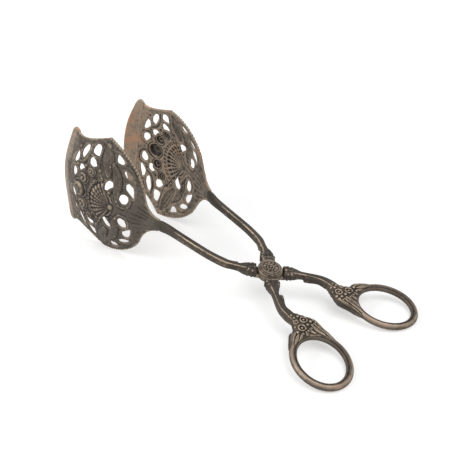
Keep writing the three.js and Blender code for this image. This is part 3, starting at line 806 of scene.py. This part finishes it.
def arm_height(places, face):
    """How far the casting rises above or, for face -1, sinks below its middle: a keeled bar whose crest
    leans to one side above and to the other below, calyx flutes, beads and leaves."""
    along, across, wide, high = on_arm(places)
    reach = np.abs(along)
    crest = -face * CREST_LEAN * wide * ramp(reach - CREST_LEAN_START, 4)
    off_crest = across - crest
    is_steep = off_crest * crest > 0
    share = np.abs(off_crest) / np.where(is_steep, wide - np.abs(crest), wide + np.abs(crest))
    fall = np.where(is_steep, STEEP_FALL, GENTLE_FALL)
    height = high * (1 - fall * np.clip(share, 0, 1) - EDGE_FALL * np.clip(share, 0, 1) ** 4)
    height += CREST_HEIGHT * swell(off_crest / CREST_HALF_WIDTH) * ramp(reach - CREST_START, 3)
    calyx = ramp(CALYX_END - reach, 3) * ramp(reach - CALYX_START, 1)
    flutes = 0.8 + 0.26 * np.abs(np.cos(1.7 * math.pi * across / wide)) ** 0.7
    height = np.maximum(height, calyx * high * flutes * (1 - 0.2 * share**2))
    collar = swell(np.hypot(*places.T) - SWING_RADIUS - COLLAR_REACH)
    height = np.maximum(height, collar * high * (1.04 - 0.5 * share**2))
    bead = np.clip(calyx_bead_depth(places), 0, 1)
    height = np.maximum(height, 1.02 * high * np.sqrt(bead) * (bead > 0.05))
    for leaf in CLASPING_LEAVES:
        depth = np.clip(leaf_depth(places, *leaf) / leaf[1], 0, 1)
        height = np.maximum(height, 1.03 * high * (0.4 + 0.6 * depth**0.5) * (depth > 0))
    return height


def arm_surfaces(places):
    top, bottom = arm_height(places, 1), -arm_height(places, -1)
    return np.column_stack([places, top]), np.column_stack([places, bottom])


def both_sides(height):
    """Top and bottom surfaces of a plate, from half its height at each place."""
    def surfaces(places):
        half_height = height(places)
        return np.column_stack([places, half_height]), np.column_stack([places, -half_height])
    return surfaces


def turned(profile, segments):
    """A turned piece from radius and height, closed on the axis at both ends."""
    turn = np.linspace(0, 2 * math.pi, segments, endpoint=False)
    rings = [
        np.column_stack([radius * np.cos(turn), radius * np.sin(turn), np.full(segments, height)])
        for radius, height in profile[1:-1]
    ]
    points = np.concatenate([*rings, [(0, 0, profile[0][1]), (0, 0, profile[-1][1])]])
    low, high = len(points) - 2, len(points) - 1
    last = (len(rings) - 1) * segments
    faces = []
    for k in range(segments):
        after = (k + 1) % segments
        faces.append([low, after, k])
        faces.append([high, last + k, last + after])
        for row in range(0, last, segments):
            faces.append([row + k, row + after, row + segments + after, row + segments + k])
    return points, faces


def wrapped(rows, count):
    """Faces round a closed section of so many points, repeated in rows round a loop."""
    number = np.arange(rows * count).reshape(rows, count)
    ahead, over = np.roll(number, -1, 0), np.roll(number, -1, 1)
    return np.stack([number, ahead, np.roll(ahead, -1, 1), over], -1).reshape(-1, 4).tolist()


def drilled(section, segments):
    """A turned piece with a hole, from radius and height round its section."""
    turn = np.linspace(0, 2 * math.pi, segments, endpoint=False)
    radius, height = np.array(section).T
    points = np.stack([
        np.outer(np.cos(turn), radius),
        np.outer(np.sin(turn), radius),
        np.outer(np.ones(segments), height),
    ], -1)
    return points.reshape(-1, 3), wrapped(segments, len(section))


RIVET_HOLE = 1.68
BOSS_SEGMENTS = 64
BOSS_SECTION = [
    (RIVET_HOLE, LAP_GAP), (7.5, LAP_GAP), (7.8, 0.35), (7.8, 0.7), (7.45, 0.85), (7.45, 1.0),
    (7.75, 1.15), (7.75, 1.55), (7.45, 1.7), (7.45, 1.8), (7.7, 1.95), (7.65, 2.4),
    (7.35, 2.65), (7.05, 2.7), (6.8, 2.6), (RIVET_HOLE, 2.6),
]
NECK_INSET = 0.9
NECK_INNER = 7.1
NECK_OUTER = SWING_RADIUS + 1.2
NECK_TOP = LAP_HALF + 0.2


def neck_inside(places):
    """The necks that tie the boss to shank and stem, inside the swing of the other boss."""
    reach = np.hypot(*places.T)
    return np.min([bar_inside(places) - NECK_INSET, NECK_OUTER - reach, reach - NECK_INNER], axis=0)


def neck_surfaces(places):
    return np.insert(places, 2, NECK_TOP, 1), np.insert(places, 2, LAP_GAP, 1)


def joined(*meshes):
    """Several closed meshes as one."""
    points, faces, count = [], [], 0
    for more_points, more_faces in meshes:
        points.append(more_points)
        faces.extend([corner + count for corner in face] for face in more_faces)
        count += len(more_points)
    return np.concatenate(points), faces


def turned_over(points, faces):
    return points * (1, 1, -1), [face[::-1] for face in faces]


cast_plate = plate_finish(
    "cast_plate",
    grime=tint(21, 18, 16),
    tarnish=tint(59, 51, 44),
    silver=tint(75, 68, 60),
    rubbed_and_highlit=tint(180, 161, 140),
    copper=tint(146, 106, 82),
)
BAR_LEVELS = (0.25, 0.5, 0.88, 0.97, 1.06)
BAR_RUB = (-0.48, -0.64, -0.6, -0.3, 0)
LAP_RUB = -0.28
CALYX_GRIME = 0.16
CALYX_GRIME_END = 15
LEAF_GRIME = 0.5
LEAF_TIP_START = 62
CALYX_BEAD_RUB = 0.5
WORN_SPOTS = {"lower": (53, 30), "upper": (38, 20)}
WORN_HALF_LENGTH = 6
WORN_LEVEL = 0.78
WORN_RUB = 0.6
arm_bar = relief_plate(
    ARM_STEP, arm_line.min(0) - ARM_MARGIN, arm_line.max(0) + ARM_MARGIN, cut_bar, arm_surfaces, ARM_RIM,
)
lap_reach = (SWING_RADIUS + 2) * np.ones(2)
upper_lap = joined(
    drilled(BOSS_SECTION, BOSS_SEGMENTS),
    relief_plate(ARM_STEP, -lap_reach, lap_reach, neck_inside, neck_surfaces, ARM_RIM),
)
bars = {"lower": arm_bar, "upper": turned_over(*arm_bar)}
laps = {"lower": turned_over(*upper_lap), "upper": upper_lap}
lap_rub = np.full(len(upper_lap[0]), LAP_RUB)
bar_places = arm_bar[0][:, :2]
bar_along, _, _, bar_high = on_arm(bar_places)
bar_levels = np.abs(arm_bar[0][:, 2]) / bar_high
bar_rub = np.interp(bar_levels, BAR_LEVELS, BAR_RUB)
calyx_grime = CALYX_GRIME * ramp(CALYX_GRIME_END - np.abs(bar_along), 3)
bar_rub -= calyx_grime + LEAF_GRIME * ramp(bar_along - LEAF_TIP_START, 5)
bar_rub += CALYX_BEAD_RUB * np.clip(calyx_bead_depth(bar_places), 0, 1)
for half in HALVES:
    worn = np.max([swell((bar_along - spot) / WORN_HALF_LENGTH) for spot in WORN_SPOTS[half]], axis=0)
    worn *= ramp(bar_levels - WORN_LEVEL, 0.2)
    arm_rub = np.concatenate([bar_rub + WORN_RUB * worn, lap_rub])
    arm = (*joined(bars[half], laps[half]), arm_rub)
    show(f"{half}_cast_arm", f"{half}_arm", half, "cast_plate", cast_plate, *arm)

# Flower sockets: castings of flowers, leaves and berries in the round, brazed over the stem's end and
# over the near end of the ring, with leaf tips running out along the ring's shoulders.
SOCKET_STEP = 0.2
SOCKET_LOW = (-64, -42)
SOCKET_HIGH = (-28, -8)
SOCKET_EASE = 0.5
SOCKET_RIM = 0.7
SOCKET_CENTRE = (-42.0, 20.0)
RING_CENTRE = (-64.7, 32.1)
RING_EDGE = 17
RING_EDGE_BLEND = 5
SOCKET_EDGE = 0.8
SOCKET_TOP = 2.5
SOCKET_ROUND = 3.0
SOCKET_FLAT = 7.0
SOCKET_FALL = 0.02
SOCKET_TIP_FALL = 0.16
FOLIAGE_HEIGHT = 0.85
VEIN_DEPTH = 0.25
BLOOM_HEIGHT = 1.1
BLOOM_SINK = 0.5
SOCKET_OUTLINE = [
    (-29.6, 21.4), (-34.4, 23.0), (-38.2, 25.4), (-40.6, 28.2), (-40.6, 31.2), (-43.2, 35),
    (-47.6, 40.2), (-49.6, 38.6), (-49.0, 34), (-48.9, 29.5), (-50, 25.2), (-54, 20.2),
    (-57.8, 17.8), (-62, 15.2), (-61.6, 13.6), (-56, 12.8), (-51, 12.2), (-47.4, 11.3),
    (-43.3, 10.9), (-38.2, 13.1), (-34.4, 14.9), (-29.6, 17.6),
]
FLOWERS = [((-43.2, 23.2), 2.9), ((-39.8, 17.5), 2.75), ((-37.9, 22.5), 1.75)]
BERRIES = [
    ((-43.6, 12.9), 1.2), ((-41.0, 13.5), 1.1), ((-45.8, 13.9), 1.0), ((-43.4, 15.6), 1.1),
    ((-46.6, 26.6), 1.1), ((-36.0, 18.4), 1.0), ((-42.2, 31.6), 1.2), ((-39.6, 25.7), 0.9),
    ((-47.2, 22.4), 1.1), ((-43.8, 18.9), 1.2), ((-43.6, 28.0), 1.2), ((-35.2, 21.0), 0.9),
    ((-47.2, 19.4), 0.9), ((-32.8, 20.6), 0.8), ((-46.2, 17.0), 0.9), ((-37.2, 14.6), 0.8),
    ((-34.4, 16.6), 0.8),
]
LEAVES = [
    ([(-43.0, 29.6), (-44.4, 33.8), (-48.6, 39.4)], 1.8),
    ([(-45.2, 29.0), (-46.6, 32.4), (-48.9, 36.0)], 1.3),
    ([(-46.2, 27.0), (-47.6, 29.6), (-48.2, 32.0)], 1.0),
    ([(-46.6, 24.0), (-48.2, 24.6), (-49.4, 26.0)], 1.1),
    ([(-46.8, 20.6), (-49.0, 21.0), (-51.4, 20.6)], 1.2),
    ([(-45.6, 17.4), (-50.0, 17.8), (-56.4, 17.2)], 1.4),
    ([(-45.8, 15.4), (-51.0, 15.5), (-60.4, 15.2)], 1.3),
    ([(-44.6, 12.6), (-50.0, 13.2), (-60.0, 13.9)], 1.2),
]
socket_outline = smooth_line([*SOCKET_OUTLINE, SOCKET_OUTLINE[0]], 4)[:-1]


def socket_spots(places):
    """Places on a socket, as forward and away from the tongs' middle line."""
    return places * (1, -1)


def socket_inside(places):
    spots = socket_spots(places)
    round_forms = [radius - 0.2 - polar(spots, centre)[0] for centre, radius in FLOWERS + BERRIES]
    return np.maximum(inside_by(spots, socket_outline), np.max(round_forms, axis=0)) - SOCKET_EASE


def flower_relief(spots, centre, radius):
    """A ring of petals round a deep cup with a bead in it."""
    reach, turn = polar(spots, centre)
    share = reach / radius
    petals = BLOOM_HEIGHT * swell((share - 0.74) / 0.28) * (0.9 + 0.1 * np.cos(5 * turn))
    bead = BLOOM_HEIGHT * swell(share / 0.34)
    return np.where(share < 1.02, np.maximum(petals, bead) - BLOOM_SINK, -1)


def foliage_relief(spots):
    """Veined leaves and berries."""
    relief = np.zeros(len(spots))
    for route, half_width in LEAVES:
        path = smooth_line(route, 6)
        distance, along, _ = beside_line(spots, path)
        share = np.clip(along / np.hypot(*np.diff(path, axis=0).T).sum(), 0, 1)
        width = half_width * np.maximum(np.sin(math.pi * (0.14 + 0.84 * share)), 0.05)
        across = distance / width
        vein = VEIN_DEPTH * swell(across / 0.2)
        relief = np.maximum(relief, (FOLIAGE_HEIGHT * swell(across) - vein) * (across < 1))
    for centre, radius in BERRIES:
        relief = np.maximum(relief, FOLIAGE_HEIGHT * swell(polar(spots, centre)[0] / radius))
    return relief


def socket_height(places):
    """Half the height of the casting, which sinks to the ring away from the flowers."""
    spots = socket_spots(places)
    depth = np.clip(socket_inside(places), 0, None)
    beyond = np.clip(polar(spots, SOCKET_CENTRE)[0] - SOCKET_FLAT, 0, None)
    top = SOCKET_TOP - SOCKET_FALL * beyond - SOCKET_TIP_FALL * np.clip(beyond - SOCKET_FLAT, 0, None)
    from_hole = np.clip((polar(spots, RING_CENTRE)[0] - RING_EDGE) / RING_EDGE_BLEND, 0.5, 1)
    rise = ramp(depth, SOCKET_ROUND * from_hole)
    ground = SOCKET_EDGE + (top - SOCKET_EDGE) * np.sqrt(1 - (1 - rise) ** 2)
    relief = foliage_relief(spots) * np.sqrt(ramp(depth, 1.8))
    for flower in FLOWERS:
        bloom = flower_relief(spots, *flower)
        relief = np.where(bloom > -1, bloom, relief)
    return ground + relief


CASTING_LEVELS = (0.5, 1.6, 3)
CASTING_RUB = (-0.6, -0.14, 0.22)
flower_casting = relief_plate(
    SOCKET_STEP, SOCKET_LOW, SOCKET_HIGH, socket_inside, both_sides(socket_height), SOCKET_RIM,
)
casting_rub = np.interp(np.abs(flower_casting[0][:, 2]), CASTING_LEVELS, CASTING_RUB)
casting = (*flower_casting, casting_rub)
for half in HALVES:
    show(f"{half}_flower_casting", f"{half}_flower_socket", half, "cast_plate", cast_plate, *casting)

# Finger rings: plated brass bar, bent round to an oval, with a broad rib and a narrow one along both
# faces. Brazed into the leaves of the socket, and worn to the copper by hands. Round the band the
# colour also has a painted highlight on its outer part and painted shade on the inner side and outer edge.
RING_REACH = 72.2
RING_SPREAD = math.radians(26.4)
RING_LONG = 18.2
RING_SHORT = 15.5
RING_HALF_BAND = 2.2
RING_HALF_HEIGHT = 2.3
RING_STEPS = 180
BAND_STEPS = 56
BROAD_RIB = (0.35, 0.62)
NARROW_RIB = (-0.85, 0.3)
NARROW_RIB_SHARE = 0.8
GROOVE_SHARE = 0.62
# Rubbed value round the band's section, inner edge to outer: partly wear, partly a painted highlight line
# and painted shade.
RING_SHOULDERS = (-1, -0.6, -0.3, 0.05, 0.3, 0.6, 0.85, 1)
RING_WEAR_AND_PAINTED_LIGHT = (-0.5, -0.1, -0.35, -0.2, 0.2, 0.46, 0.16, -0.3)


def ring_band():
    """The ring's section, swept round an oval about the ring's own long axis."""
    turn = np.linspace(0, 2 * math.pi, RING_STEPS, endpoint=False)[:, None]
    round_band = np.linspace(0, 2 * math.pi, BAND_STEPS, endpoint=False)[None, :]
    normal = np.stack([RING_SHORT * np.cos(turn), RING_LONG * np.sin(turn)], -1)
    normal /= np.linalg.norm(normal, axis=-1, keepdims=True)
    out = np.cos(round_band)
    broad, narrow = (swell((out - place) / half_width) for place, half_width in (BROAD_RIB, NARROW_RIB))
    ribs = GROOVE_SHARE + (1 - GROOVE_SHARE) * np.maximum(broad, NARROW_RIB_SHARE * narrow)
    z = np.sin(round_band) * ribs * RING_HALF_HEIGHT + 0 * turn
    middle = np.stack([RING_LONG * np.cos(turn), RING_SHORT * np.sin(turn)], -1)
    plan = middle + RING_HALF_BAND * out[..., None] * normal
    axis = np.array((-math.cos(RING_SPREAD), -math.sin(RING_SPREAD)))
    square = np.array((-axis[1], axis[0]))
    plan = axis * RING_REACH + plan[..., :1] * axis + plan[..., 1:] * square
    points = np.concatenate([plan, z[..., None]], -1).reshape(-1, 3)
    # Painted highlight and shade: brightest along the outer part of the band, darker towards the inner side
    # and the outer edge; the same value lets the copper show through.
    rub_and_painted_light = np.interp(out + 0 * turn, RING_SHOULDERS, RING_WEAR_AND_PAINTED_LIGHT)
    return points, wrapped(RING_STEPS, BAND_STEPS), rub_and_painted_light.ravel()


worn_plate = plate_finish(
    "worn_plate",
    grime=tint(34, 30, 27),
    tarnish=tint(84, 73, 64),
    silver=tint(104, 93, 83),
    rubbed_and_highlit=tint(160, 142, 125),
    copper=tint(168, 126, 103),
)
for half in HALVES:
    show(f"{half}_ring_band", f"{half}_finger_ring", half, "worn_plate", worn_plate, *ring_band())

# Pivot: a brass rivet through both laps, with its head and a plain washer below. On top its thin end goes
# through a stamped rosette and is peened to a bead. All are plated, and dark in the hollows.
ROSETTE_BOTTOM = 2.85
ROSETTE_FLOOR = ROSETTE_BOTTOM + 0.4
ROSETTE_RADIUS = 6.9
ROSETTE_STEP = 0.14
ROSETTE_RIM = 0.4
ROSETTE_EASE = 0.15
ROSETTE_PETALS = 10
ROSETTE_SCALLOPS = 0.12
ROSETTE_RINGS = [(6.3, 0.5, 0.25), (5.35, 0.6, 0.9), (3.7, 1.25, 1.15), (1.95, 0.65, 1.2)]
ROSETTE_RUB = 0.13
SHANK_RADIUS = 1.6
TENON_RADIUS = 0.78
TENON_HOLE = 0.95
RIVET_SEGMENTS = 40
RIVET_RUB = -0.05
RIVET_PROFILE = [
    (0, -5.3), (1.2, -5.25), (2.3, -5.0), (3.1, -4.6), (3.4, -4.3), (3.3, -4.2),
    (SHANK_RADIUS, -4.2), (SHANK_RADIUS, 2.78), (TENON_RADIUS, 2.8), (TENON_RADIUS, 3.45),
    (0.7, 3.9), (0.62, 4.3), (0.4, 4.6), (0.2, 4.7), (0, 4.72),
]
WASHER_SEGMENTS = 48
WASHER_RUB = 0.15
WASHER_SECTION = [
    (RIVET_HOLE, -3.9), (4.3, -3.9), (4.6, -3.7), (4.6, -3.3), (4.4, -3.1), (RIVET_HOLE, -3.1),
]


def rosette_inside(places):
    reach, turn = polar(places, (0, 0))
    edge = ROSETTE_RADIUS - ROSETTE_SCALLOPS * (1 - np.cos(ROSETTE_PETALS * turn))
    return np.minimum(edge - reach - ROSETTE_EASE, reach - TENON_HOLE)


def rosette_surfaces(places):
    """Flat below; on top a rim, a ring of petals, a ring of small ones and a cup for the bead."""
    reach, turn = polar(places, (0, 0))
    foot, rim, petals, small = (
        height * swell((reach - radius) / half_width) for radius, half_width, height in ROSETTE_RINGS
    )
    petals *= 0.2 + 0.8 * np.abs(np.cos(ROSETTE_PETALS / 2 * turn))
    small *= 0.6 + 0.4 * np.abs(np.cos(3 * turn))
    top = ROSETTE_FLOOR + np.max([foot, rim, petals, small], axis=0)
    return np.column_stack([places, top]), np.insert(places, 2, ROSETTE_BOTTOM, 1)


pivot_metal = plate_finish(
    "pivot_metal",
    grime=tint(30, 26, 23),
    tarnish=tint(82, 72, 63),
    silver=tint(104, 94, 84),
    rubbed_and_highlit=tint(158, 143, 127),
    copper=tint(154, 120, 96),
)
rosette_high = (ROSETTE_RADIUS + 0.4) * np.ones(2)
rosette = relief_plate(
    ROSETTE_STEP, -rosette_high, rosette_high, rosette_inside, rosette_surfaces, ROSETTE_RIM,
)
rivet = turned(RIVET_PROFILE, RIVET_SEGMENTS)
washer = drilled(WASHER_SECTION, WASHER_SEGMENTS)
show("stamped_rosette", "pivot_rosette", "lower", "pivot_metal", pivot_metal, *rosette, ROSETTE_RUB)
show("bead_rivet", "pivot_rivet", "lower", "pivot_metal", pivot_metal, *rivet, RIVET_RUB)
show("flat_washer", "pivot_washer", "lower", "pivot_metal", pivot_metal, *washer, WASHER_RUB)

# Table and light: a plain pale table under soft studio light, seen from above the handles. The table
# and the room look white to the camera and in the metal, and the table keeps the shadow.
TABLE_REACH = 6.0
TABLE_GREY = (0.8, 0.8, 0.8, 1)
TABLE_GLOW = 0.38
WHITE = (1, 1, 1, 1)
ROOM_LIGHT = 0.45


def seen_directly(layer):
    """1 where the camera sees a surface straight, in metal or through glass."""
    rays = [layer.node("ShaderNodeLightPath", {}, {}, name) for name in (
        "Is Camera Ray", "Is Glossy Ray", "Is Transmission Ray",
    )]
    return layer.math("MAXIMUM", layer.math("MAXIMUM", rays[0], rays[1]), rays[2])


pale_table = bpy.data.materials.new("pale_table")
pale_table.use_nodes = True
pale_table.node_tree.nodes.clear()
paper = Layer(pale_table.node_tree)
matt = paper.node("ShaderNodeBsdfDiffuse", {}, {"Color": TABLE_GREY})
glow = paper.node("ShaderNodeEmission", {}, {"Color": WHITE, "Strength": TABLE_GLOW})
lit = paper.node("ShaderNodeAddShader", {}, {0: matt, 1: glow})
white_paper = paper.node("ShaderNodeMixShader", {}, {"Fac": seen_directly(paper), 1: matt, 2: lit})
paper.node("ShaderNodeOutputMaterial", {}, {"Surface": white_paper})
corner = TABLE_REACH / 2
table_mesh = bpy.data.meshes.new("table")
table_corners = [(-corner, -corner, 0), (corner, -corner, 0), (corner, corner, 0), (-corner, corner, 0)]
table_mesh.from_pydata(table_corners, [], [(0, 1, 2, 3)])
table_mesh.materials.append(pale_table)
table = bpy.data.objects.new("table", table_mesh)
bpy.context.scene.collection.objects.link(table)

world = bpy.data.worlds.new("studio")
bpy.context.scene.world = world
world.use_nodes = True
world.node_tree.nodes.clear()
room = Layer(world.node_tree)
brightness = seen_directly(room) * (1 - ROOM_LIGHT) + ROOM_LIGHT
room_light = room.node("ShaderNodeBackground", {}, {"Color": WHITE, "Strength": brightness})
room.node("ShaderNodeOutputWorld", {}, {"Surface": room_light})


def lamp(name, kind, energy, place, aim, **settings):
    light = bpy.data.lights.new(name, kind)
    light.energy = energy
    for setting, value in settings.items():
        setattr(light, setting, value)
    holder = bpy.data.objects.new(name, light)
    bpy.context.scene.collection.objects.link(holder)
    toward_lamp = (Vector(place) - Vector(aim)).to_track_quat("Z", "Y").to_matrix().to_4x4()
    holder.matrix_world = Matrix.Translation(place) @ toward_lamp


lamp("overhead", "SUN", 1.2, (-0.4, 0.1, 1.0), (0, 0, 0), angle=math.radians(50))
lamp("window", "AREA", 3.5, (0.5, 0.7, 0.6), (0.03, 0, 0.03), shape="RECTANGLE", size=0.5, size_y=0.5)

camera_forward = np.array((0.56835, -0.6256, -0.53436))
camera_right = np.array((-0.74711, -0.6644, -0.01679))
camera_up = np.cross(camera_right, camera_forward)
camera_place = rivet_place + MM * np.array((-259.33, 325.1, 296.55))
lens = bpy.data.cameras.new("camera")
lens.lens = 66.72
lens.sensor_width = 36
camera = bpy.data.objects.new("camera", lens)
bpy.context.scene.collection.objects.link(camera)
facing = np.column_stack([camera_right, camera_up, -camera_forward])
camera.matrix_world = Matrix.Translation(camera_place) @ Matrix(facing.tolist()).to_4x4()
bpy.context.scene.camera = camera
bpy.context.scene.view_settings.view_transform = "Standard"
